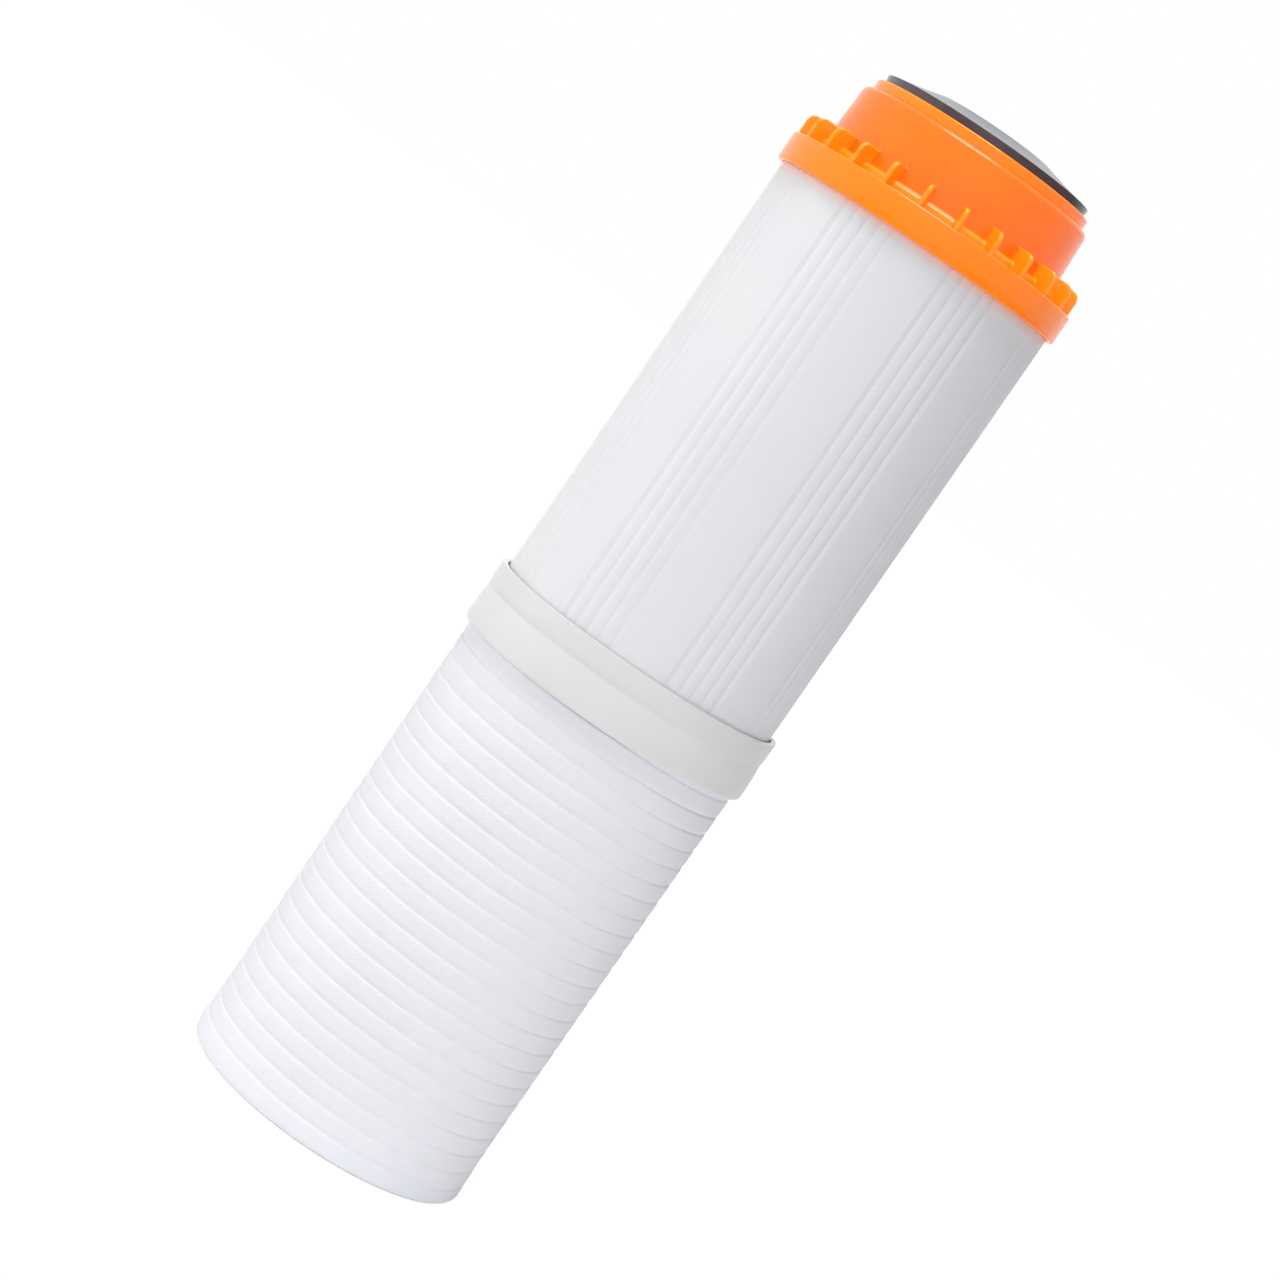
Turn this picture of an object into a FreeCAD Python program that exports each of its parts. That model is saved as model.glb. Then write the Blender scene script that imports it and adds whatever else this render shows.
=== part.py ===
import FreeCAD, Part
import Sketcher
import math
import os

# Two-stage water filter cartridge, 250 mm long, standing on the flat lower end of its sediment element.
# Frame: millimetres, Z up along the cartridge, origin at the centre of the lower end face.
# Lower half: melt-blown polypropylene element with a spiral groove. Upper half: fluted tube full of
# granular carbon. A joint ring couples the halves, and a cap with a gasket closes the upper end.

# Driving sizes in millimetres, and angles in degrees.
SIZES = {
    # sediment element
    "element_length": 113.9,
    "element_radius": 33.15,
    "element_bore": 14.0,
    "flare_reach": 0.4,
    "flare_length": 10.0,
    "end_round": 1.6,
    "groove_pitch": 4.37,
    "groove_depth": 0.25,
    "groove_lower_flank": 0.38,
    "groove_upper_flank": 1.2,
    "groove_start": 5.07,
    # joint ring
    "ring_skirt_gap": 0.25,
    "ring_skirt_depth": 8.5,
    "ring_socket_gap": 0.45,
    "ring_socket_depth": 3.3,
    "ring_wall": 1.3,
    "ring_edge_land": 0.3,
    "ring_rim_setback": 0.13,
    "crease_depth": 0.24,
    "crease_height": 0.3,
    "crease_lower_width": 6.5,
    "crease_upper_width": 2.0,
    "web_thickness": 2.4,
    "web_opening_radius": 12.0,
    "standoff_height": 1.6,
    "standoff_width": 1.2,
    "standoff_inner_setback": 1.0,
    "standoff_outer_setback": 3.0,
    "standoff_count": 12,
    # collars inside both ends of the tube, on the ring and on the cap
    "collar_gap": 0.15,
    "collar_wall": 1.2,
    "cap_collar_height": 3.0,
    # strainers across the openings of the ring and of the cap
    "strainer_hub_radius": 2.6,
    "strainer_bar_width": 1.6,
    "strainer_bar_count": 6,
    "cap_strainer_thickness": 1.2,
    # fluted tube
    "tube_length": 108.9,
    "tube_radius": 33.0,
    "tube_wall": 1.7,
    "flute_depth": 0.28,
    "flute_crest_drop": 0.03,
    "flute_pitch": 5.0,
    "flute_group_count": 8,
    "tube_turn": 24.7,
    # felt pads and carbon
    "pad_thickness": 5.0,
    "pad_gap": 0.2,
    "fill_gap": 0.15,
    # cap
    "cap_skirt_gap": 0.25,
    "cap_skirt_wall": 1.2,
    "cap_skirt_height": 6.4,
    "shoulder_thickness": 2.0,
    "ledge_width": 2.05,
    "ledge_height": 1.8,
    "boss_inset": 1.6,
    "boss_draft": 0.7,
    "boss_height": 16.2,
    "boss_wall": 2.6,
    "neck_step": 1.55,
    "neck_step_land": 0.1,
    "neck_height": 2.25,
    "ceiling_thickness": 2.65,
    "outlet_radius": 13.0,
    "outlet_ledge": 0.6,
    "edge_bevel": 0.4,
    "crown_setback": 0.6,
    "crown_height": 5.1,
    "crown_thickness": 1.1,
    "crown_round": 1.9,
    "crown_count": 24,
    "crown_turn": 7.3,
    # gasket
    "gasket_inset": 1.2,
    "gasket_foot_taper": 0.25,
    "gasket_rim_height": 1.75,
    "gasket_height": 4.35,
    "gasket_lip_width": 1.0,
    "gasket_lip_bevel": 0.3,
    "gasket_slope_radius": 120.0,
}

# Five valleys make one group of flutes on the tube.
VALLEYS = (-2, -1, 0, 1, 2)

# Heights of the seats, as formulas in the sheet's values. Each piece stands on the one before.
WEB_TOP = "Sizes.element_length + Sizes.web_thickness"
INLET_PAD_SEAT = f"{WEB_TOP} + Sizes.standoff_height"
BED_SEAT = f"{INLET_PAD_SEAT} + Sizes.pad_thickness"
TUBE_END = f"{WEB_TOP} + Sizes.tube_length"
NECK_TOP = "Sizes.shoulder_thickness + Sizes.boss_height + Sizes.neck_height"
CEILING = f"{NECK_TOP} - Sizes.ceiling_thickness"
OUTLET_PAD_SEAT = f"{TUBE_END} + {CEILING} - Sizes.pad_thickness"
GASKET_SEAT = f"{TUBE_END} + {NECK_TOP}"

# Radii from the tube's wall inwards: its bore, the collars in its ends, the cap's boss, neck and gasket.
TUBE_BORE = "Sizes.tube_radius - Sizes.tube_wall"
COLLAR_RADIUS = f"{TUBE_BORE} - Sizes.collar_gap"
COLLAR_BORE = f"{COLLAR_RADIUS} - Sizes.collar_wall"
BOSS_BASE = f"{COLLAR_BORE} - Sizes.boss_inset"
BOSS_BORE = f"{BOSS_BASE} - Sizes.boss_wall"
BOSS_TOP = f"{BOSS_BASE} - Sizes.boss_draft"
NECK_RADIUS = f"{BOSS_TOP} - Sizes.neck_step"
GASKET_RADIUS = f"{NECK_RADIUS} - Sizes.gasket_inset"
STRAINER_RADIUS = "Sizes.outlet_radius - Sizes.outlet_ledge"

# Radii from the tube's and the element's walls outwards: the ring's skirt and rim, and the cap's skirt.
# The ring's wall stands outside the wider of its two bores.
SKIRT_BORE = "Sizes.element_radius + Sizes.ring_skirt_gap"
SOCKET_BORE = "Sizes.tube_radius + Sizes.ring_socket_gap"
RING_RADIUS = f"max({SKIRT_BORE}; {SOCKET_BORE}) + Sizes.ring_wall"
RIM_RADIUS = f"{RING_RADIUS} - Sizes.ring_rim_setback"
CAP_BORE = "Sizes.tube_radius + Sizes.cap_skirt_gap"
CAP_RADIUS = f"{CAP_BORE} + Sizes.cap_skirt_wall"

# How far a cut runs on past the surface that it opens, and a bar or rib into the wall that carries it.
OVERSHOOT = 0.2

# The side of the walk round an outline to which an arc bulges.
LEFT = 1
RIGHT = -1


def write_sizes(doc):
    """The spreadsheet of driving sizes: a name and a plain number on each row."""
    sheet = doc.addObject("Spreadsheet::Sheet", "Sizes")
    for row, (name, value) in enumerate(SIZES.items(), start=1):
        sheet.set(f"A{row}", name)
        sheet.set(f"B{row}", str(value))
        sheet.setAlias(f"B{row}", name)
    doc.recompute()


def value_of(owner, formula):
    """The present value of a formula in the sheet's values."""
    return float(owner.evalExpression(formula))


def new_body(doc, label, seat="0", turn="0"):
    """A body with its own zero at its seat, lifted to the seat's height and turned about the axis."""
    body = doc.addObject("PartDesign::Body", label)
    body.Label = label
    axis = FreeCAD.Vector(0, 0, 1)
    body.Placement = FreeCAD.Placement(FreeCAD.Vector(0, 0, 0), FreeCAD.Rotation(axis, value_of(body, turn)))
    body.setExpression("Placement.Base.z", seat)
    if turn != "0":
        body.setExpression("Placement.Rotation.Angle", turn)
    return body


def new_sketch(body, name, role, height=None):
    """A sketch on one of the body's own origin planes, raised by a formula where one is given."""
    sketch = body.newObject("Sketcher::SketchObject", name)
    plane = next(feature for feature in body.Origin.OriginFeatures if feature.Role == role)
    sketch.AttachmentSupport = (plane, [""])
    sketch.MapMode = "FlatFace"
    if height:
        sketch.setExpression("AttachmentOffset.Base.z", height)
    return sketch


def constrain(sketch, formula, kind, *elements):
    """A constraint whose value follows a formula."""
    index = sketch.addConstraint(Sketcher.Constraint(kind, *elements, value_of(sketch, formula)))
    sketch.setExpression(f"Constraints[{index}]", formula)


def draw_outline(sketch, corners):
    """A closed outline through corners (across, up), or (across, up, side, radius) where an arc leads on."""
    places = [FreeCAD.Vector(value_of(sketch, across), value_of(sketch, up), 0) for across, up, *_ in corners]
    ends = []
    for index, corner in enumerate(corners):
        start, end = places[index], places[(index + 1) % len(corners)]
        if len(corner) == 2:
            sketch.addGeometry(Part.LineSegment(start, end), False)
            ends.append((1, 2))
            continue
        side, radius = corner[2], value_of(sketch, corner[3])
        sketch.addGeometry(arc_between(start, end, side, radius), False)
        ends.append((2, 1) if side == LEFT else (1, 2))
    for index, corner in enumerate(corners):
        following = (index + 1) % len(corners)
        sketch.addConstraint(
            Sketcher.Constraint("Coincident", index, ends[index][1], following, ends[following][0]))
        constrain(sketch, corner[0], "DistanceX", -1, 1, index, ends[index][0])
        constrain(sketch, corner[1], "DistanceY", -1, 1, index, ends[index][0])
        if len(corner) == 4:
            constrain(sketch, corner[3], "Radius", index)


def arc_between(start, end, side, radius):
    """The short arc from start to end that bulges to one side of the walk."""
    chord = end - start
    towards = FreeCAD.Vector(-chord.y, chord.x, 0).normalize() * side
    centre = (start + end) * 0.5 - towards * math.sqrt(radius ** 2 - (chord.Length / 2) ** 2)
    circle = Part.Circle(centre, FreeCAD.Vector(0, 0, 1), radius)
    first, last = (end, start) if side == LEFT else (start, end)
    return Part.ArcOfCircle(circle, circle.parameter(first), circle.parameter(last))


def bend_radius(drop, length):
    """The radius of an arc that leaves a straight wall smoothly and drops by so much over a length."""
    return f"({length} ^ 2 + {drop} ^ 2) / (2 * {drop})"


def draw_circle(sketch, radius):
    """A circle about the axis."""
    axis = FreeCAD.Vector(0, 0, 1)
    circle = Part.Circle(FreeCAD.Vector(0, 0, 0), axis, value_of(sketch, radius))
    index = sketch.addGeometry(circle, False)
    sketch.addConstraint(Sketcher.Constraint("Coincident", index, 3, -1, 1))
    constrain(sketch, radius, "Radius", index)


def revolve(body, name, corners):
    """A full revolution about the axis of an outline given as (radius, height) corners."""
    sketch = new_sketch(body, f"{name}_section", "XZ_Plane")
    draw_outline(sketch, corners)
    revolution = body.newObject("PartDesign::Revolution", name)
    revolution.Profile = sketch
    revolution.ReferenceAxis = (sketch, ["V_Axis"])
    revolution.Angle = 360
    return revolution


def raise_pad(body, name, sketch, length, midplane=False):
    """A pad of a sketch, upwards or both ways from it."""
    feature = body.newObject("PartDesign::Pad", name)
    feature.Profile = sketch
    feature.Midplane = midplane
    feature.setExpression("Length", length)
    return feature


def repeat_around(doc, body, name, feature, count):
    """Equal copies of a feature around the body's own axis."""
    doc.recompute()
    pattern = body.newObject("PartDesign::PolarPattern", name)
    pattern.Originals = [feature]
    axis = next(line for line in body.Origin.OriginFeatures if line.Role == "Z_Axis")
    pattern.Axis = (axis, [""])
    pattern.Angle = 360
    pattern.setExpression("Occurrences", count)
    body.Tip = pattern


def dress_edges(doc, body, kind, name, base, places, size):
    """A fillet or chamfer of the circular edges of a feature that lie at (radius, height) places."""
    doc.recompute()
    wanted = [(value_of(body, across), value_of(body, up)) for across, up in places]
    edges = []
    for index, edge in enumerate(base.Shape.Edges, start=1):
        curve = edge.Curve
        if not isinstance(curve, Part.Circle):
            continue
        if any(math.dist((curve.Radius, curve.Center.z), place) < 1e-4 for place in wanted):
            edges.append(f"Edge{index}")
    feature = body.newObject(kind, name)
    feature.Base = (base, edges)
    feature.setExpression("Radius" if kind == "PartDesign::Fillet" else "Size", size)
    return feature


def add_strainer(doc, body, radius, height, thickness):
    """A hub and bars across a round opening: the opening's radius, and the bars' level and thickness."""
    hub = new_sketch(body, "strainer_hub_section", "XY_Plane", height)
    draw_circle(hub, "Sizes.strainer_hub_radius")
    raise_pad(body, "strainer_hub", hub, thickness)
    half = "Sizes.strainer_bar_width / 2"
    start = "Sizes.strainer_hub_radius / 2"
    reach = f"{radius} + {OVERSHOOT}"
    bar = new_sketch(body, "strainer_bar_section", "XY_Plane", height)
    draw_outline(bar, [(start, f"-({half})"), (reach, f"-({half})"), (reach, half), (start, half)])
    first_bar = raise_pad(body, "strainer_bar", bar, thickness)
    repeat_around(doc, body, "strainer_bars", first_bar, "Sizes.strainer_bar_count")


def make_sediment_element(doc):
    """The melt-blown element: a bored cylinder, flared at its cut end, with a left-hand spiral groove."""
    body = new_body(doc, "sediment_element")
    flared = "Sizes.element_radius + Sizes.flare_reach"
    revolve(body, "blank", [
        ("Sizes.element_bore", "0"),
        (f"{flared} - Sizes.end_round", "0", RIGHT, "Sizes.end_round"),
        (flared, "Sizes.end_round"),
        ("Sizes.element_radius", "Sizes.flare_length"),
        ("Sizes.element_radius", "Sizes.element_length"),
        ("Sizes.element_bore", "Sizes.element_length"),
    ])
    # The groove's flanks run on just past the surface and then straight out, so that they cut the flare too.
    valley = "0 - Sizes.groove_start"
    mouth = f"Sizes.element_radius + {OVERSHOOT} / 4"
    growth = f"(1 + {OVERSHOOT} / 4 / Sizes.groove_depth)"
    lower = f"{valley} - Sizes.groove_lower_flank * {growth}"
    upper = f"{valley} + Sizes.groove_upper_flank * {growth}"
    outside = f"{flared} + {OVERSHOOT}"
    section = new_sketch(body, "groove_section", "XZ_Plane")
    draw_outline(section, [
        ("Sizes.element_radius - Sizes.groove_depth", valley),
        (mouth, lower),
        (outside, lower),
        (outside, upper),
        (mouth, upper),
    ])
    doc.recompute()
    groove = body.newObject("PartDesign::SubtractiveHelix", "groove")
    groove.Profile = section
    groove.ReferenceAxis = (section, ["V_Axis"])
    groove.Mode = 0
    groove.LeftHanded = True
    groove.setExpression("Pitch", "Sizes.groove_pitch")
    groove.setExpression("Height", "Sizes.groove_start + Sizes.element_length + Sizes.groove_pitch / 2")
    return body


def make_joint_ring(doc):
    """The coupler: a web with a strainer, a socket above for the tube, and a skirt below for the element."""
    body = new_body(doc, "joint_ring", "Sizes.element_length")
    skirt_low = "0 - Sizes.ring_skirt_depth"
    web = "Sizes.web_thickness"
    rim = f"{web} + Sizes.ring_socket_depth"
    collar_top = f"{web} + Sizes.standoff_height"
    # The skirt and the rim both bend in softly, and meet in a shallow crease round the outside.
    crease = "Sizes.crease_height"
    crease_radius = f"{RIM_RADIUS} - Sizes.crease_depth"
    lower_bend = bend_radius("(Sizes.ring_rim_setback + Sizes.crease_depth)", "Sizes.crease_lower_width")
    upper_bend = bend_radius("Sizes.crease_depth", "Sizes.crease_upper_width")
    ring = revolve(body, "ring", [
        (SKIRT_BORE, skirt_low),
        (RING_RADIUS, skirt_low),
        (RING_RADIUS, f"{crease} - Sizes.crease_lower_width", RIGHT, lower_bend),
        (crease_radius, crease, RIGHT, upper_bend),
        (RIM_RADIUS, f"{crease} + Sizes.crease_upper_width"),
        (RIM_RADIUS, rim),
        (SOCKET_BORE, rim),
        (SOCKET_BORE, web),
        (COLLAR_RADIUS, web),
        (COLLAR_RADIUS, collar_top),
        (COLLAR_BORE, collar_top),
        (COLLAR_BORE, web),
        ("Sizes.web_opening_radius", web),
        ("Sizes.web_opening_radius", "0"),
        (SKIRT_BORE, "0"),
    ])
    dress_edges(doc, body, "PartDesign::Fillet", "lower_edge", ring,
                [(RING_RADIUS, skirt_low)], "Sizes.ring_wall - Sizes.ring_edge_land")
    add_strainer(doc, body, "Sizes.web_opening_radius", "0", web)
    # Low radial ribs hold the felt pad off the web, so that water spreads under it.
    half = "Sizes.standoff_width / 2"
    near = "Sizes.web_opening_radius + Sizes.standoff_inner_setback"
    far = f"{COLLAR_BORE} - Sizes.standoff_outer_setback"
    rib = new_sketch(body, "standoff_section", "XY_Plane", web)
    draw_outline(rib, [(near, f"-({half})"), (far, f"-({half})"), (far, half), (near, half)])
    first_rib = raise_pad(body, "standoff", rib, "Sizes.standoff_height")
    repeat_around(doc, body, "standoffs", first_rib, "Sizes.standoff_count")
    return body


def make_carbon_tube(doc):
    """The extruded tube: groups of narrow valleys between rounded reeds, with plain bands between them."""
    body = new_body(doc, "carbon_tube", WEB_TOP, "Sizes.tube_turn")
    section = new_sketch(body, "tube_section", "XY_Plane")
    draw_circle(section, "Sizes.tube_radius")
    draw_circle(section, TUBE_BORE)
    raise_pad(body, "tube", section, "Sizes.tube_length")

    # One closed outline for a group: from valley to valley over the reeds, and back outside the tube.
    valley_radius = "(Sizes.tube_radius - Sizes.flute_depth)"
    half_pitch = "Sizes.flute_pitch / 2"
    half_chord = f"({valley_radius} * sin({half_pitch}))"
    crest_rise = (f"(Sizes.flute_depth - Sizes.flute_crest_drop"
                  f" + {valley_radius} * (1 - cos({half_pitch})))")
    reed_radius = f"({half_chord} ^ 2 + {crest_rise} ^ 2) / (2 * {crest_rise})"
    outside_radius = "(Sizes.tube_radius + Sizes.flute_depth)"
    runout = VALLEYS[-1] + 0.75

    def at(radius, steps):
        return f"{radius} * cos(Sizes.flute_pitch * {steps})", f"{radius} * sin(Sizes.flute_pitch * {steps})"

    corners = [at(outside_radius, -runout)]
    corners += [(*at(valley_radius, step), RIGHT, reed_radius) for step in VALLEYS[:-1]]
    corners += [at(valley_radius, VALLEYS[-1]), (*at(outside_radius, runout), LEFT, outside_radius)]
    flutes = new_sketch(body, "flute_section", "XY_Plane")
    draw_outline(flutes, corners)
    group = body.newObject("PartDesign::Pocket", "flute_group")
    group.Profile = flutes
    group.Reversed = True
    group.setExpression("Length", "Sizes.tube_length")
    repeat_around(doc, body, "flute_groups", group, "Sizes.flute_group_count")
    return body


def make_top_cap(doc):
    """The moulded cap: a skirt round the tube, a boss with an outlet, and a crown of thin radial ribs."""
    body = new_body(doc, "top_cap", TUBE_END, "Sizes.crown_turn")
    shoulder = "Sizes.shoulder_thickness"
    skirt_low = f"{shoulder} - Sizes.cap_skirt_height"
    ledge = f"{shoulder} + Sizes.ledge_height"
    ledge_radius = f"{BOSS_BASE} + Sizes.ledge_width"
    boss_height = f"{shoulder} + Sizes.boss_height"
    outlet_low = f"{CEILING} + Sizes.cap_strainer_thickness"
    collar_low = "0 - Sizes.cap_collar_height"
    shell = revolve(body, "shell", [
        (CAP_BORE, skirt_low),
        (CAP_RADIUS, skirt_low),
        (CAP_RADIUS, shoulder),
        (ledge_radius, shoulder),
        (ledge_radius, ledge),
        (BOSS_BASE, ledge),
        (BOSS_TOP, boss_height),
        (NECK_RADIUS, boss_height),
        (NECK_RADIUS, NECK_TOP),
        ("Sizes.outlet_radius", NECK_TOP),
        ("Sizes.outlet_radius", outlet_low),
        (STRAINER_RADIUS, outlet_low),
        (STRAINER_RADIUS, CEILING),
        (BOSS_BORE, CEILING),
        (BOSS_BORE, "0"),
        (COLLAR_BORE, "0"),
        (COLLAR_BORE, collar_low),
        (COLLAR_RADIUS, collar_low),
        (COLLAR_RADIUS, "0"),
        (CAP_BORE, "0"),
    ])
    boss_edge = dress_edges(doc, body, "PartDesign::Fillet", "boss_edge", shell,
                            [(BOSS_TOP, boss_height)], "Sizes.neck_step - Sizes.neck_step_land")
    outer_edges = [
        (CAP_RADIUS, skirt_low),
        (CAP_RADIUS, shoulder),
        (ledge_radius, ledge),
        (NECK_RADIUS, NECK_TOP),
    ]
    dress_edges(doc, body, "PartDesign::Chamfer", "outer_edges", boss_edge, outer_edges, "Sizes.edge_bevel")
    add_strainer(doc, body, STRAINER_RADIUS, CEILING, "Sizes.cap_strainer_thickness")

    # One rib of the crown: it grows from inside the shoulder and the boss, and its outer corner is round.
    crown_top = f"{shoulder} + Sizes.crown_height"
    crown_radius = f"{CAP_RADIUS} - Sizes.crown_setback"
    root = f"{BOSS_BORE} + Sizes.boss_wall / 2"
    rib = new_sketch(body, "crown_rib_section", "XZ_Plane")
    draw_outline(rib, [
        (root, f"{shoulder} / 2"),
        (crown_radius, f"{shoulder} / 2"),
        (crown_radius, f"{crown_top} - Sizes.crown_round", RIGHT, "Sizes.crown_round"),
        (f"{crown_radius} - Sizes.crown_round", crown_top),
        (root, crown_top),
    ])
    first_rib = raise_pad(body, "crown_rib", rib, "Sizes.crown_thickness", midplane=True)
    repeat_around(doc, body, "crown", first_rib, "Sizes.crown_count")
    return body


def make_top_gasket(doc):
    """The rubber gasket: a thin rim on the neck that sweeps up to a raised lip round the outlet."""
    body = new_body(doc, "top_gasket", GASKET_SEAT)
    revolve(body, "gasket", [
        ("Sizes.outlet_radius", "0"),
        (f"{GASKET_RADIUS} - Sizes.gasket_foot_taper", "0"),
        (GASKET_RADIUS, "Sizes.gasket_rim_height", LEFT, "Sizes.gasket_slope_radius"),
        ("Sizes.outlet_radius + Sizes.gasket_lip_width", "Sizes.gasket_height"),
        ("Sizes.outlet_radius", "Sizes.gasket_height - Sizes.gasket_lip_bevel"),
    ])
    return body


def make_carbon_bed(doc):
    """The granular fill as one solid: it fills the tube and the boss, and steps in past the cap's collar."""
    body = new_body(doc, "carbon_bed", BED_SEAT)
    tube_end = f"{TUBE_END} - ({BED_SEAT}) - Sizes.fill_gap"
    top = f"{OUTLET_PAD_SEAT} - ({BED_SEAT})"
    revolve(body, "fill", [
        ("0", "0"),
        (f"{TUBE_BORE} - Sizes.fill_gap", "0"),
        (f"{TUBE_BORE} - Sizes.fill_gap", f"{tube_end} - Sizes.cap_collar_height"),
        (f"{COLLAR_BORE} - Sizes.fill_gap", f"{tube_end} - Sizes.cap_collar_height"),
        (f"{COLLAR_BORE} - Sizes.fill_gap", tube_end),
        (f"{BOSS_BORE} - Sizes.fill_gap", tube_end),
        (f"{BOSS_BORE} - Sizes.fill_gap", top),
        ("0", top),
    ])
    return body


def make_felt_pad(doc, label, bore, seat):
    """A felt disc that holds the carbon back, in a bore and on a seat."""
    disc = doc.addObject("Part::Cylinder", label)
    disc.Label = label
    disc.setExpression("Radius", f"{bore} - Sizes.pad_gap")
    disc.setExpression("Height", "Sizes.pad_thickness")
    disc.setExpression("Placement.Base.z", seat)
    return disc


def check(doc, pieces):
    """Stops unless every object is up to date and every piece is one valid solid."""
    for item in doc.Objects:
        if "Invalid" in item.State or "Error" in item.State:
            raise RuntimeError(f"{item.Name} failed: {item.State}")
    for piece in pieces:
        shape = piece.Shape
        if shape.isNull() or not shape.isValid() or len(shape.Solids) != 1:
            raise RuntimeError(f"{piece.Label} is not one valid solid")
        print(f"{piece.Label}: volume {shape.Volume / 1000:.2f} cm3, faces {len(shape.Faces)}")


def main():
    doc = FreeCAD.newDocument("filter_cartridge")
    write_sizes(doc)
    pieces = [
        make_sediment_element(doc),
        make_joint_ring(doc),
        make_felt_pad(doc, "inlet_pad", TUBE_BORE, INLET_PAD_SEAT),
        make_carbon_tube(doc),
        make_carbon_bed(doc),
        make_felt_pad(doc, "outlet_pad", BOSS_BORE, OUTLET_PAD_SEAT),
        make_top_cap(doc),
        make_top_gasket(doc),
    ]
    doc.recompute()
    check(doc, pieces)
    os.makedirs("parts", exist_ok=True)
    for piece in pieces:
        piece.Shape.exportStep(f"parts/{piece.Label}.step")


main()
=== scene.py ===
import math

import bmesh
import bpy
from mathutils import Matrix, Vector, noise


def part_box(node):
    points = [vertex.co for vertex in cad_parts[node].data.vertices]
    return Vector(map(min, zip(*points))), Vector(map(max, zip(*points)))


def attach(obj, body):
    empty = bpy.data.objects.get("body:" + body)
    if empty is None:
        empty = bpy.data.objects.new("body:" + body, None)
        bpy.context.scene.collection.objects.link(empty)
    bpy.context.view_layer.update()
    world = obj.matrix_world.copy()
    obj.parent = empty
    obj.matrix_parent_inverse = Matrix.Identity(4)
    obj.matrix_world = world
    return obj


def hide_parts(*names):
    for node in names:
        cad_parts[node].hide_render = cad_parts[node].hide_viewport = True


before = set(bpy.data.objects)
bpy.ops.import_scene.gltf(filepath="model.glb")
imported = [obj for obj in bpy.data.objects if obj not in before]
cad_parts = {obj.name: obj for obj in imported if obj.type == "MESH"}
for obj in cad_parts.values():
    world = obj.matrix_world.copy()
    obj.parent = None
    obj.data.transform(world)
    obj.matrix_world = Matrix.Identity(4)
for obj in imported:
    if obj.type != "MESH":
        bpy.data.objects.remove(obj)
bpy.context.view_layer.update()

# The water filter cartridge: a spiral-grooved sediment element, a joint ring, a fluted carbon tube,
# an orange cap and a rubber gasket. Lengths are in metres, and MM turns a size in millimetres into one.
MM = 0.001

# Camera: where it aims, from how far, how far down it looks, and how far it is rolled.
AIM = Vector((-1.36, 0.0, 121.57)) * MM
DISTANCE = 699.8 * MM
LOOK_DOWN = math.radians(5.527)
ROLL = math.radians(34.42)
LENS_MM = 93.53

# Light: each lamp stands at one distance from what it faces. Those at the left and overhead are warmer.
LAMP_DISTANCE = 1.3
WARM = (1.0, 0.985, 0.965)
COOL = (0.965, 0.98, 1.0)
WORLD_STRENGTH = 0.12

# Floor: how far it reaches, how white it is, and over which distances it fades to plain white.
FLOOR_REACH = 12.0
FLOOR_WHITE = 1.06
FADE_START = 0.1
FADE_END = 0.6
WHITE_NEAR_BY = 0.9

# Mirrors see the floor white where Y is more than a share of X, and less white where X is also more than
# a share of Y, which is to the right behind the object.
WHITE_SLOPE = 0.67
RIGHT_SLOPE = 0.1
RIGHT_LOSS = 0.5

# Sediment element and its left-hand spiral groove.
ELEMENT_RADIUS = 33.15 * MM
ELEMENT_BORE = 14 * MM
ELEMENT_FLARE = 0.4 * MM
ELEMENT_FLARE_LENGTH = 10 * MM
ELEMENT_END_ROUND = 1.6 * MM
GROOVE_PITCH = 4.37 * MM
GROOVE_DEPTH = 0.25 * MM
GROOVE_START = -5.07 * MM
LOWER_FLANK = 0.3 * MM
UPPER_FLANK = 1.1 * MM
BAND_CROWN = 0.02 * MM
SWAY = 0.12 * MM
SWAY_SPAN = 9 * MM
FIBRE_SLANT = math.radians(30)

# Fineness of the element's mesh. The spare turns carry the spiral past both ends, where it is cut off.
ELEMENT_COLUMNS = 264
ELEMENT_SHARP = 75
END_ROUND_STEPS = 6
SPARE_TURNS = 3
CUT_TOLERANCE = 1e-7

# The rows of one turn, from a valley up to the next: share of the flank and share of the groove's depth.
UPPER_FLANK_ROWS = ((0, 1), (0.14, 0.88), (0.5, 0.47), (0.82, 0.13), (1.08, 0))
LOWER_FLANK_ROWS = ((1.15, 0), (0.8, 0.14), (0.3, 0.7))
BAND_SHARES = (0.2, 0.5, 0.8)

# Cap, seated on the tube's upper end. Its section is in millimetres, out from the axis and up from the seat.
CAP_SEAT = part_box("carbon_tube")[1].z
SKIRT_BORE = 33.25
SKIRT_RADIUS = 34.45
SKIRT_FOOT = -4.4
SKIRT_TOP = 2.0
RIB_RADIUS = 33.85
RIB_ROOT = 28.2
RIB_TOP = 7.1
GAP_RADIUS = 30.4
GAP_ROOT = 28.3
GAP_TOP = 3.8
BOSS_FOOT_RADIUS = 28.15
BOSS_FOOT = 8.0
BOSS_RADIUS = 27.65
BOSS_TOP = 18.2
NECK_RADIUS = 26.1
NECK_TOP = 20.45
OUTLET_RADIUS = 13.0
STRAINER_RADIUS = 12.4
STRAINER_TOP = 19.0
STRAINER_FOOT = 17.8
CAVITY_RADIUS = 25.75
COLLAR_BORE = 29.95
COLLAR_RADIUS = 31.15
COLLAR_FOOT = -3.0
EDGE_ROUND = 0.15

# The cap's crown of ribs, in the same millimetres, and the fineness of its mesh. The mesh's columns in a gap
# stand clear of a rib by the angle that its width takes up at the spread radius.
RIB_COUNT = 24
RIB_TURN = math.radians(7.3)
RIB_THICKNESS = 1.1
RIB_TOP_ROUND = 0.5
RIB_FOOT_ROUND = 0.3
SPREAD_RADIUS = 30
RIB_EDGE_STEPS = 5
GAP_COLUMNS = 5
CORNER_STEPS = 5
CAP_SHARP = 50

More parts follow.
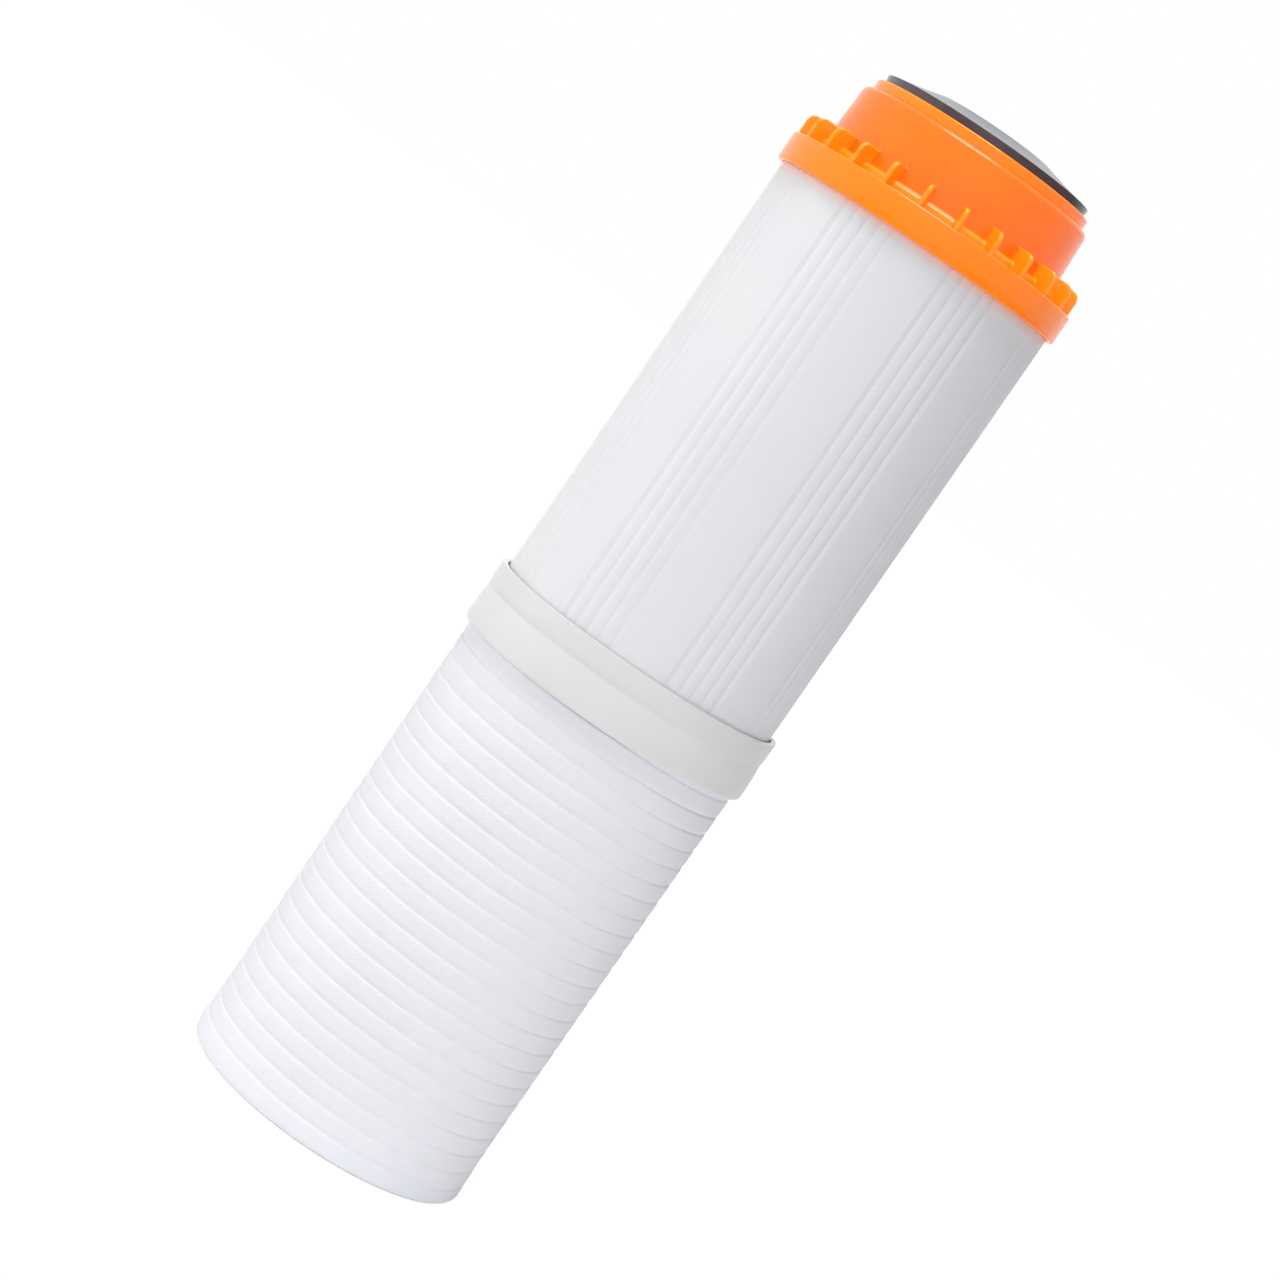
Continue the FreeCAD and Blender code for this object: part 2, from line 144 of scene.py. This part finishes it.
# Strainer across the cap's outlet, in the same millimetres.
HUB_RADIUS = 2.6
BAR_WIDTH = 1.6
BAR_COUNT = 6
BAR_REACH = 12.6

# Where colours change, in millimetres: the stretch past a level of the cap over which they blend, the ring
# round its boss beyond which the cap is painted lighter for light through it, the reach below its skirt of
# the painted orange light on the tube, and the edge between the gasket's rim and its slope, which is painted
# bluer as a painted reflection.
BLEND_START = 0.1
BLEND_END = 0.4
BOSS_EDGE = (28.5, 29.4)
PAINTED_LIGHT_REACH = 2.3
GASKET_EDGE = (24.2, 24.8)

# A mottled colour lies between its two colours over this stretch of its noise.
MOTTLE_START = 0.3
MOTTLE_END = 0.7

# Where the Mix node keeps its two colours and their mixture among its sockets, which share their names.
MIX_COLOURS = slice(6, 8)
MIX_RESULT = 2


def add_mesh(name, vertices, faces):
    """A mesh object in the scene."""
    mesh = bpy.data.meshes.new(name)
    mesh.from_pydata([tuple(v) for v in vertices], [], faces)
    piece = bpy.data.objects.new(name, mesh)
    bpy.context.scene.collection.objects.link(piece)
    return piece


def shade_smooth(piece, sharp_degrees):
    """Smooth shading, with edges sharper than an angle kept crisp."""
    piece.data.polygons.foreach_set("use_smooth", [True] * len(piece.data.polygons))
    piece.data.set_sharp_from_angle(angle=math.radians(sharp_degrees))


def paint(piece, material):
    """Gives a piece one material in place of those it has."""
    piece.data.materials.clear()
    piece.data.materials.append(material)


def rounded(corners):
    """The points of a path of straight runs whose corners (across, up, radius) are rounded by arcs."""
    points = []
    places = [Vector(corner[:2]) for corner in corners]
    for index, place in enumerate(places):
        radius = corners[index][2]
        if not radius:
            points.append(place)
            continue
        back = (places[index - 1] - place).normalized()
        ahead = (places[(index + 1) % len(places)] - place).normalized()
        half = back.angle(ahead) / 2
        centre = place + (back + ahead).normalized() * (radius / math.sin(half))
        start = place + back * (radius / math.tan(half)) - centre
        finish = place + ahead * (radius / math.tan(half)) - centre
        swing = start.angle_signed(finish)
        for step in range(CORNER_STEPS + 1):
            turn = -swing * step / CORNER_STEPS
            points.append(centre + Vector((start.x * math.cos(turn) - start.y * math.sin(turn),
                                           start.x * math.sin(turn) + start.y * math.cos(turn))))
    return points


# Sediment element


def groove_rows():
    """(fraction of the pitch, fall of the surface) for the rows of one turn."""
    rows = [(share * UPPER_FLANK, depth * GROOVE_DEPTH) for share, depth in UPPER_FLANK_ROWS]
    band_start = rows[-1][0]
    lower = [(GROOVE_PITCH - share * LOWER_FLANK, depth * GROOVE_DEPTH) for share, depth in LOWER_FLANK_ROWS]
    band = lower[0][0] - band_start
    rows += [(band_start + share * band, -BAND_CROWN * 4 * share * (1 - share)) for share in BAND_SHARES]
    return [(up / GROOVE_PITCH, fall) for up, fall in rows + lower]


def element_radius(height):
    """The element's radius without its groove, flared towards the cut end."""
    flare = min(max(1 - height / ELEMENT_FLARE_LENGTH, 0), 1)
    return ELEMENT_RADIUS + ELEMENT_FLARE * flare


def make_element():
    """The element as a mesh whose rows follow the left-hand spiral, cut off at its two ends."""
    low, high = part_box("sediment_element")
    one_turn = groove_rows()
    turns = int((high.z - GROOVE_START) / GROOVE_PITCH) + SPARE_TURNS
    columns = ELEMENT_COLUMNS
    vertices = []
    for turn in range(turns):
        for fraction, fall in one_turn:
            for column in range(columns):
                angle = 2 * math.pi * column / columns
                height = GROOVE_START + GROOVE_PITCH * (turn + fraction - column / columns)
                out = Vector((math.cos(angle), math.sin(angle), 0))
                spot = out * ELEMENT_RADIUS + Vector((0, 0, height))
                sway = noise.noise(spot / SWAY_SPAN) * SWAY
                vertices.append(out * (element_radius(height) - fall) + Vector((0, 0, height + sway)))
    faces = []
    per_turn = len(one_turn)
    for row in range(per_turn * turns - 1):
        for column in range(columns - 1):
            here = row * columns + column
            faces.append((here, here + 1, here + columns + 1, here + columns))
        if row >= per_turn:
            last, first = row * columns + columns - 1, (row - per_turn) * columns
            faces.append((last, first, first + columns, last + columns))
    piece = add_mesh("element_fibre", vertices, faces)
    close_element(piece, low.z, high.z)
    shade_smooth(piece, ELEMENT_SHARP)
    return piece


def extend(work, loop, place):
    """Extrudes a loop of edges once, each new vertex going where place sends the old one."""
    made = bmesh.ops.extrude_edge_only(work, edges=loop)["geom"]
    for vertex in (item for item in made if isinstance(item, bmesh.types.BMVert)):
        vertex.co = place(vertex.co)
    return [item for item in made if isinstance(item, bmesh.types.BMEdge)]


def close_element(piece, low, high):
    """Cuts the spiral mesh off at its ends, rounds the lower edge, and adds the end faces and the bore."""
    work = bmesh.new()
    work.from_mesh(piece.data)
    lower_cut = low + ELEMENT_END_ROUND
    for height, side in ((lower_cut, -1), (high, 1)):
        everything = work.verts[:] + work.edges[:] + work.faces[:]
        bmesh.ops.bisect_plane(work, geom=everything, dist=CUT_TOLERANCE, plane_co=(0, 0, height),
                               plane_no=(0, 0, side), clear_outer=True)
    rims = [edge for edge in work.edges if edge.is_boundary]
    lower_loop = [edge for edge in rims if edge.verts[0].co.z < (low + high) / 2]
    upper_loop = [edge for edge in rims if edge.verts[0].co.z > (low + high) / 2]

    def at(vertex, radius, height):
        out = Vector((vertex.x, vertex.y, 0)).normalized()
        return out * radius + Vector((0, 0, height))

    fall_before = 0
    for step in range(1, END_ROUND_STEPS + 1):
        turn = math.pi / 2 * step / END_ROUND_STEPS
        fall = ELEMENT_END_ROUND * (1 - math.cos(turn))
        height = lower_cut - ELEMENT_END_ROUND * math.sin(turn)
        inwards = fall - fall_before
        lower_loop = extend(work, lower_loop, lambda v: at(v, v.xy.length - inwards, height))
        fall_before = fall
    lower_loop = extend(work, lower_loop, lambda v: at(v, ELEMENT_BORE, low))
    bore_top = extend(work, lower_loop, lambda v: at(v, ELEMENT_BORE, high))
    bmesh.ops.bridge_loops(work, edges=bore_top + upper_loop)
    bmesh.ops.recalc_face_normals(work, faces=work.faces)
    work.to_mesh(piece.data)
    work.free()


# Cap


def cap_section(with_rib):
    """The cap's closed section, through a rib or a gap of the crown, from corners (across, up, radius)."""
    skirt = [
        (SKIRT_BORE, SKIRT_FOOT, EDGE_ROUND),
        (SKIRT_RADIUS, SKIRT_FOOT, 0.35),
        (SKIRT_RADIUS, SKIRT_TOP, 0.45),
    ]
    if with_rib:
        crown = [(RIB_RADIUS, SKIRT_TOP, 0.1), (RIB_RADIUS, RIB_TOP, 1.9), (RIB_ROOT, RIB_TOP, 0.3)]
    else:
        crown = [(GAP_RADIUS, SKIRT_TOP, 0.4), (GAP_RADIUS, GAP_TOP, 1.0), (GAP_ROOT, GAP_TOP, 0.4)]
    boss = [
        (BOSS_FOOT_RADIUS, BOSS_FOOT, 0),
        (BOSS_RADIUS, BOSS_TOP, 1.45),
        (NECK_RADIUS, BOSS_TOP, 0.08),
        (NECK_RADIUS, NECK_TOP, 0.4),
    ]
    inside = [
        (OUTLET_RADIUS, NECK_TOP, EDGE_ROUND),
        (OUTLET_RADIUS, STRAINER_TOP, EDGE_ROUND),
        (STRAINER_RADIUS, STRAINER_TOP, EDGE_ROUND),
        (STRAINER_RADIUS, STRAINER_FOOT, EDGE_ROUND),
        (CAVITY_RADIUS, STRAINER_FOOT, 0.3),
        (CAVITY_RADIUS, 0.0, EDGE_ROUND),
        (COLLAR_BORE, 0.0, EDGE_ROUND),
        (COLLAR_BORE, COLLAR_FOOT, EDGE_ROUND),
        (COLLAR_RADIUS, COLLAR_FOOT, EDGE_ROUND),
        (COLLAR_RADIUS, 0.0, EDGE_ROUND),
        (SKIRT_BORE, 0.0, EDGE_ROUND),
    ]
    return rounded(skirt + crown + boss + inside)


def rib_columns():
    """(offset across the rib, share rule, rise in millimetres) for the columns of one rib, side to side."""
    half = RIB_THICKNESS / 2
    turns = [math.pi / 2 * step / RIB_EDGE_STEPS for step in range(RIB_EDGE_STEPS + 1)]
    foot = [(half + RIB_FOOT_ROUND * (1 - math.sin(turn)), "foot", RIB_FOOT_ROUND * (1 - math.cos(turn)))
            for turn in turns]
    top = [(half - RIB_TOP_ROUND * (1 - math.cos(turn)), "top", RIB_TOP_ROUND * (1 - math.sin(turn)))
           for turn in turns]
    side = foot + top
    return [(-offset, rule, rise) for offset, rule, rise in side] + side[::-1]


def rib_share(rule, rise, reach):
    """A point's share of the way from the gap's section to the rib's, where they are a reach apart."""
    if rule == "gap" or not reach:
        return 0
    share = min(rise / reach, 0.5)
    return share if rule == "foot" else 1 - share


def add_strainer(vertices, faces):
    """The hub and bars across the outlet, as one upright prism."""
    outline = []
    root, tip = math.asin(BAR_WIDTH / 2 / HUB_RADIUS), math.asin(BAR_WIDTH / 2 / BAR_REACH)
    for bar in range(BAR_COUNT):
        middle = RIB_TURN + 2 * math.pi * bar / BAR_COUNT
        outline += [(HUB_RADIUS, middle - root), (BAR_REACH, middle - tip), (BAR_REACH, middle + tip),
                    (HUB_RADIUS, middle + root), (HUB_RADIUS, middle + math.pi / BAR_COUNT)]
    first, count = len(vertices), len(outline)
    for level in (STRAINER_FOOT, STRAINER_TOP):
        for radius, angle in outline:
            across = (radius * math.cos(angle) * MM, radius * math.sin(angle) * MM)
            vertices.append((*across, CAP_SEAT + level * MM))
    faces.append([first + corner for corner in reversed(range(count))])
    faces.append([first + count + corner for corner in range(count)])
    for corner in range(count):
        following = (corner + 1) % count
        faces.append((first + corner, first + following, first + count + following, first + count + corner))


def make_cap():
    """The cap as a lathed section that swells into each rib of the crown, with soft moulded edges."""
    plain, ribbed = cap_section(False), cap_section(True)
    columns = []
    spread = (RIB_THICKNESS / 2 + RIB_FOOT_ROUND) / SPREAD_RADIUS
    gap = 2 * math.pi / RIB_COUNT - 2 * spread
    for rib in range(RIB_COUNT):
        middle = RIB_TURN + 2 * math.pi * rib / RIB_COUNT
        columns += [(middle, *column) for column in rib_columns()]
        for step in range(1, GAP_COLUMNS):
            columns.append((middle + spread + gap * step / GAP_COLUMNS, 0, "gap", 0))
    vertices = []
    for angle, offset, rule, rise in columns:
        turn = Vector((math.cos(angle), math.sin(angle), 0))
        side = Vector((-turn.y, turn.x, 0))
        for low, high in zip(plain, ribbed):
            spot = low.lerp(high, rib_share(rule, rise, (high - low).length))
            out = math.sqrt(spot.x ** 2 - offset ** 2)
            vertices.append((turn * out + side * offset) * MM + Vector((0, 0, CAP_SEAT + spot.y * MM)))
    faces = []
    rows = len(plain)
    for column in range(len(columns)):
        following = (column + 1) % len(columns)
        for row in range(rows):
            above = (row + 1) % rows
            faces.append((column * rows + row, following * rows + row,
                          following * rows + above, column * rows + above))
    add_strainer(vertices, faces)
    piece = add_mesh("cap_shell", vertices, faces)
    shade_smooth(piece, CAP_SHARP)
    return piece


# Nodes


def feed(tree, socket, source):
    """Links a socket to another, or sets it to a plain value."""
    if isinstance(source, bpy.types.NodeSocket):
        tree.links.new(source, socket)
    else:
        socket.default_value = source


def combine(tree, operation, *values):
    """A Math node of values that are numbers or sockets."""
    made = tree.nodes.new("ShaderNodeMath")
    made.operation = operation
    for socket, value in zip(made.inputs, values):
        feed(tree, socket, value)
    return made.outputs[0]


def white_to_camera(tree, lit, white, share=1.0, mirrored=1.0):
    """Mixes a lit shader with a white one for rays from the camera, from mirrors and through glass."""
    path = tree.nodes.new("ShaderNodeLightPath")
    turned = combine(tree, "MAXIMUM", path.outputs["Is Glossy Ray"], path.outputs["Is Transmission Ray"])
    turned = combine(tree, "MULTIPLY", turned, mirrored)
    seen = combine(tree, "MAXIMUM", path.outputs["Is Camera Ray"], turned)
    mix = tree.nodes.new("ShaderNodeMixShader")
    for socket, source in zip(mix.inputs, (combine(tree, "MULTIPLY", seen, share), lit, white)):
        feed(tree, socket, source)
    return mix.outputs[0]


class Finish:
    """A node material with one Principled shader, and short ways to add nodes."""

    def __init__(self, name):
        self.material = bpy.data.materials.new(name)
        self.material.use_nodes = True
        self.tree = self.material.node_tree
        self.shader = self.tree.nodes["Principled BSDF"]

    def add(self, kind, inputs=(), **settings):
        """A node with its settings, and its inputs as {name: number, colour or socket}."""
        made = self.tree.nodes.new(kind)
        for name, value in settings.items():
            setattr(made, name, value)
        for name, source in dict(inputs).items():
            feed(self.tree, made.inputs[name], source)
        return made

    def set(self, **values):
        """Gives the shader's inputs, whose names have _ for a space, values or sockets."""
        for name, value in values.items():
            feed(self.tree, self.shader.inputs[name.replace("_", " ")], value)

    def combine(self, operation, *values):
        """A Math node of values that are numbers or sockets."""
        return combine(self.tree, operation, *values)

    def vector(self, operation, *values):
        """A Vector Math node of vectors or sockets."""
        made = self.add("ShaderNodeVectorMath", operation=operation)
        for socket, value in zip(made.inputs, values):
            feed(self.tree, socket, value)
        return made

    def place(self):
        """Object coordinates."""
        return self.add("ShaderNodeTexCoord").outputs["Object"]

    def split(self):
        """The three object coordinates by themselves."""
        return self.add("ShaderNodeSeparateXYZ", {"Vector": self.place()}).outputs

    def unrolled(self, slant):
        """The way along and across a slant on the element's wall, as if it were rolled out flat."""
        x, y, z = self.split()
        turn = self.combine("ARCTAN2", x, self.combine("MULTIPLY", y, -1))
        way = self.combine("MULTIPLY", turn, ELEMENT_RADIUS)
        flat = self.add("ShaderNodeCombineXYZ", {"X": way, "Z": z}).outputs["Vector"]
        turned = self.add("ShaderNodeVectorRotate", {"Vector": flat, "Angle": slant}, rotation_type="Y_AXIS")
        return turned.outputs["Vector"]

    def noise(self, scale_per_mm, detail, stretch=(1, 1, 1), place=None):
        """A noise in object space or at another place, stretched along the axes."""
        scale = Vector(stretch) / MM
        mapping = self.add("ShaderNodeMapping", {"Vector": place or self.place(), "Scale": scale})
        inputs = {"Vector": mapping.outputs["Vector"], "Scale": scale_per_mm, "Detail": detail}
        return self.add("ShaderNodeTexNoise", inputs).outputs["Fac"]

    def between(self, value, low, high, first=0.0, last=1.0):
        """The first share where a value is up to low, the last from high on, and a slope in between."""
        ends = {"From Min": low, "From Max": high, "To Min": first, "To Max": last}
        return self.add("ShaderNodeMapRange", {"Value": value, **ends}).outputs["Result"]

    def level_between(self, low, high):
        """0 below one level of the cap's section and 1 above another."""
        return self.between(self.split()["Z"], CAP_SEAT + low * MM, CAP_SEAT + high * MM)

    def past_level(self, level):
        """0 below a level of the cap's section and 1 above it, with a short blend."""
        return self.level_between(level + BLEND_START, level + BLEND_END)

    def radius_between(self, low, high):
        """0 within one distance in millimetres from the axis and 1 beyond another."""
        flat = self.vector("MULTIPLY", self.place(), Vector((1, 1, 0)))
        distance = self.vector("LENGTH", flat.outputs["Vector"])
        return self.between(distance.outputs["Value"], low * MM, high * MM)

    def mix(self, share, first, second):
        """A colour between two others, each a colour or a socket."""
        made = self.add("ShaderNodeMix", data_type="RGBA")
        feed(self.tree, made.inputs[0], share)
        for socket, colour in zip(made.inputs[MIX_COLOURS], (first, second)):
            feed(self.tree, socket, colour if isinstance(colour, bpy.types.NodeSocket) else (*colour, 1))
        return made.outputs[MIX_RESULT]

    def ramp(self, source, stops):
        """Colours between two stops (position, colour)."""
        made = self.add("ShaderNodeValToRGB", {"Fac": source})
        for element, (position, colour) in zip(made.color_ramp.elements, stops):
            element.position = position
            element.color = (*colour, 1)
        return made.outputs["Color"]

    def mottled(self, first, second, scale_per_mm, detail):
        """A colour that wanders between two others with a noise."""
        return self.ramp(self.noise(scale_per_mm, detail), ((MOTTLE_START, first), (MOTTLE_END, second)))

    def bump(self, height, distance_mm, strength, edge_mm=0):
        """A bump, over sharp edges that are softened to a radius where one is given."""
        inputs = {"Height": height, "Distance": distance_mm * MM, "Strength": strength}
        made = self.add("ShaderNodeBump", inputs)
        if edge_mm:
            soft = self.add("ShaderNodeBevel", {"Radius": edge_mm * MM}, samples=6)
            feed(self.tree, made.inputs["Normal"], soft.outputs["Normal"])
        self.set(Normal=made.outputs["Normal"])


# Materials


def fibre_finish():
    finish = Finish("melt_blown_fibre")
    white = finish.mottled((0.808, 0.818, 0.868), (0.822, 0.832, 0.882), scale_per_mm=0.3, detail=3)
    finish.set(Base_Color=white, Roughness=0.9)
    # Short wisps of fibre that climb across the bands, over a fine grain.
    wisps = finish.noise(2.4, 3, stretch=(0.22, 1, 1), place=finish.unrolled(FIBRE_SLANT))
    grain = finish.combine("MULTIPLY", finish.noise(3.5, 2), 0.4)
    finish.bump(finish.combine("ADD", wisps, grain), distance_mm=0.16, strength=0.9)
    return finish.material


def tube_finish():
    finish = Finish("extruded_white")
    white = finish.mottled((0.745, 0.75, 0.785), (0.765, 0.77, 0.80), scale_per_mm=0.05, detail=2)
    # Painted light: the wall just below the orange skirt is painted pinkish orange for the light that the
    # skirt colours as it falls there.
    painted_light = finish.level_between(SKIRT_FOOT - PAINTED_LIGHT_REACH, SKIRT_FOOT)
    finish.set(Base_Color=finish.mix(painted_light, white, (0.78, 0.5, 0.44)))
    finish.set(Roughness=0.3, Specular_IOR_Level=0.4)
    finish.bump(finish.noise(2.2, 4, stretch=(1, 1, 0.008)), distance_mm=0.03, strength=0.5)
    return finish.material


def ring_finish():
    finish = Finish("moulded_white")
    white = finish.mottled((0.715, 0.711, 0.712), (0.735, 0.731, 0.732), scale_per_mm=0.08, detail=2)
    finish.set(Base_Color=white, Roughness=0.3, Specular_IOR_Level=0.35)
    finish.bump(finish.noise(0.3, 2), distance_mm=0.02, strength=0.4, edge_mm=0.25)
    return finish.material


def orange_finish():
    finish = Finish("translucent_orange")
    # Painted light: the thin skirt, neck and ribs are painted lighter and yellower for the light that passes
    # through them, and the boss deeper for the dark carbon behind it.
    outer = finish.radius_between(*BOSS_EDGE)
    thin = finish.combine("MAXIMUM", outer, finish.past_level(BOSS_TOP))
    ribs = finish.combine("MULTIPLY", outer, finish.past_level(SKIRT_TOP))
    boss = finish.mottled((1.0, 0.18, 0.004), (1.0, 0.2, 0.006), scale_per_mm=0.06, detail=2)
    finish.set(Base_Color=finish.mix(ribs, finish.mix(thin, boss, (1.0, 0.25, 0.005)), (1.0, 0.32, 0.008)))
    finish.set(Roughness=0.2, Specular_IOR_Level=0.42)
    finish.set(Subsurface_Weight=0.3, Subsurface_Radius=(1.0, 0.45, 0.2), Subsurface_Scale=0.7 * MM)
    # Painted glow: the plastic glows a faint orange, standing in for light scattered through it.
    finish.set(Emission_Color=(1.0, 0.1, 0.0, 1), Emission_Strength=0.24)
    finish.bump(finish.noise(0.25, 2), distance_mm=0.02, strength=0.4)
    return finish.material


def rubber_finish():
    finish = Finish("dark_rubber")
    rim = finish.mottled((0.06, 0.048, 0.056), (0.08, 0.068, 0.076), scale_per_mm=0.8, detail=4)
    # Painted reflection: the slope inside the rim is painted bluer for the bright surroundings that it
    # mirrors.
    finish.set(Base_Color=finish.mix(finish.radius_between(*GASKET_EDGE), (0.06, 0.07, 0.1), rim))
    finish.set(Roughness=0.22)
    finish.bump(finish.noise(3.0, 3), distance_mm=0.01, strength=0.3, edge_mm=0.2)
    return finish.material


def felt_finish():
    finish = Finish("white_felt")
    white = finish.mottled((0.68, 0.68, 0.66), (0.8, 0.8, 0.78), scale_per_mm=1.5, detail=4)
    finish.set(Base_Color=white, Roughness=0.95)
    finish.bump(finish.noise(2.5, 5), distance_mm=0.3, strength=1.0)
    return finish.material


def carbon_finish():
    finish = Finish("carbon_granules")
    # Painted shade: each granule is painted darker towards its edge, for the shade in the gaps between
    # granules.
    grains = finish.add("ShaderNodeTexVoronoi", {"Vector": finish.place(), "Scale": 1 / MM})
    black = finish.ramp(grains.outputs["Distance"], ((0.0, (0.03, 0.03, 0.03)), (0.8, (0.008, 0.008, 0.008))))
    finish.set(Base_Color=black, Roughness=0.7)
    finish.bump(grains.outputs["Distance"], distance_mm=0.5, strength=1.0)
    return finish.material


# Scene


def make_world():
    """Plain white for the camera and for mirrors, and a dim cool light on the object."""
    world = bpy.data.worlds.new("studio")
    bpy.context.scene.world = world
    world.use_nodes = True
    tree = world.node_tree
    dim = tree.nodes["Background"]
    dim.inputs["Color"].default_value = (*COOL, 1)
    dim.inputs["Strength"].default_value = WORLD_STRENGTH
    white = tree.nodes.new("ShaderNodeBackground")
    white.inputs["Color"].default_value = (1, 1, 1, 1)
    seen = white_to_camera(tree, dim.outputs[0], white.outputs[0])
    tree.links.new(seen, tree.nodes["World Output"].inputs["Surface"])


def make_floor():
    """A floor that takes the object's shadow near by, and fades to plain white further off."""
    side = FLOOR_REACH
    corners = [(-side, -side, 0), (side, -side, 0), (side, side, 0), (-side, side, 0)]
    floor = add_mesh("floor", corners, [(0, 1, 2, 3)])
    finish = Finish("pale_floor")
    finish.set(Base_Color=(0.9, 0.9, 0.9, 1), Roughness=0.9)
    white = finish.add("ShaderNodeEmission", {"Strength": FLOOR_WHITE})
    away = finish.vector("LENGTH", finish.place()).outputs["Value"]
    fade = finish.between(away, FADE_START, FADE_END, WHITE_NEAR_BY, 1.0)
    # Mirrors see white at the left of the object and behind it, less at the right behind, and
    # elsewhere the floor as it is lit.
    x, y = finish.split()[:2]
    behind = finish.combine("GREATER_THAN", y, finish.combine("MULTIPLY", x, WHITE_SLOPE))
    right = finish.combine("GREATER_THAN", x, finish.combine("MULTIPLY", y, RIGHT_SLOPE))
    loss = finish.combine("MULTIPLY", finish.combine("MULTIPLY", behind, right), RIGHT_LOSS)
    mirrored = finish.combine("SUBTRACT", behind, loss)
    seen = white_to_camera(finish.tree, finish.shader.outputs[0], white.outputs[0], fade, mirrored)
    finish.tree.links.new(seen, finish.tree.nodes["Material Output"].inputs["Surface"])
    paint(floor, finish.material)


def place_lamp(light, around, above, target, mirrored=False):
    """A lamp that faces a point, by its angles round it and above it in degrees."""
    lamp = bpy.data.objects.new(light.name, light)
    azimuth, elevation = math.radians(around), math.radians(above)
    outwards = Vector((math.sin(azimuth) * math.cos(elevation), -math.cos(azimuth) * math.cos(elevation),
                       math.sin(elevation)))
    lamp.location = target + outwards * LAMP_DISTANCE
    lamp.rotation_euler = (-outwards).to_track_quat("-Z", "Y").to_euler()
    lamp.visible_glossy = mirrored
    bpy.context.scene.collection.objects.link(lamp)


def make_softbox(name, around, above, watts, colour, size=1.0, mirrored=False):
    """A round softbox that faces the middle of the object, with or without a mirror image in it."""
    light = bpy.data.lights.new(name, "AREA")
    light.shape = "DISK"
    light.size = size
    light.energy = watts
    light.color = colour
    place_lamp(light, around, above, AIM, mirrored)


def make_foot_spot(around, above, watts, colour):
    """A soft spot on the foot of the object, which fades out towards the joint ring."""
    light = bpy.data.lights.new("foot", "SPOT")
    light.spot_size = math.radians(14)
    light.spot_blend = 1
    light.shadow_soft_size = 0.2
    light.energy = watts
    light.color = colour
    place_lamp(light, around, above, Vector())


def make_camera():
    """The photograph's view, rolled so that the upright object leans as it does there."""
    ahead = Vector((0, math.cos(LOOK_DOWN), -math.sin(LOOK_DOWN)))
    right = Vector((1, 0, 0))
    up = right.cross(ahead)
    camera = bpy.data.objects.new("camera", bpy.data.cameras.new("camera"))
    camera.data.lens = LENS_MM
    rolled_right = right * math.cos(ROLL) + up * math.sin(ROLL)
    rolled_up = up * math.cos(ROLL) - right * math.sin(ROLL)
    camera.rotation_mode = "QUATERNION"
    turn = Matrix((rolled_right, rolled_up, -ahead)).transposed()
    camera.rotation_quaternion = turn.to_quaternion()
    camera.location = AIM - ahead * DISTANCE
    bpy.context.scene.collection.objects.link(camera)
    bpy.context.scene.camera = camera


def main():
    element = make_element()
    paint(element, fibre_finish())
    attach(element, "root")
    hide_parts("sediment_element")

    cap = make_cap()
    paint(cap, orange_finish())
    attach(cap, "root")
    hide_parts("top_cap")

    finishes = {
        "joint_ring": ring_finish(),
        "carbon_tube": tube_finish(),
        "top_gasket": rubber_finish(),
        "inlet_pad": felt_finish(),
        "outlet_pad": felt_finish(),
        "carbon_bed": carbon_finish(),
    }
    for node, material in finishes.items():
        paint(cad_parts[node], material)

    make_world()
    make_floor()
    make_softbox("left", around=-90, above=15, watts=5.3, colour=WARM)
    make_softbox("front_left", around=-45, above=25, watts=1.3, colour=WARM)
    make_softbox("front", around=5, above=8, watts=4.6, colour=COOL)
    make_softbox("back", around=175, above=15, watts=3.4, colour=COOL)
    make_softbox("overhead", around=-30, above=75, watts=15.5, colour=WARM, size=0.75, mirrored=True)
    make_foot_spot(around=70, above=8.5, watts=38, colour=COOL)
    make_camera()
    bpy.context.scene.view_settings.view_transform = "Standard"


main()
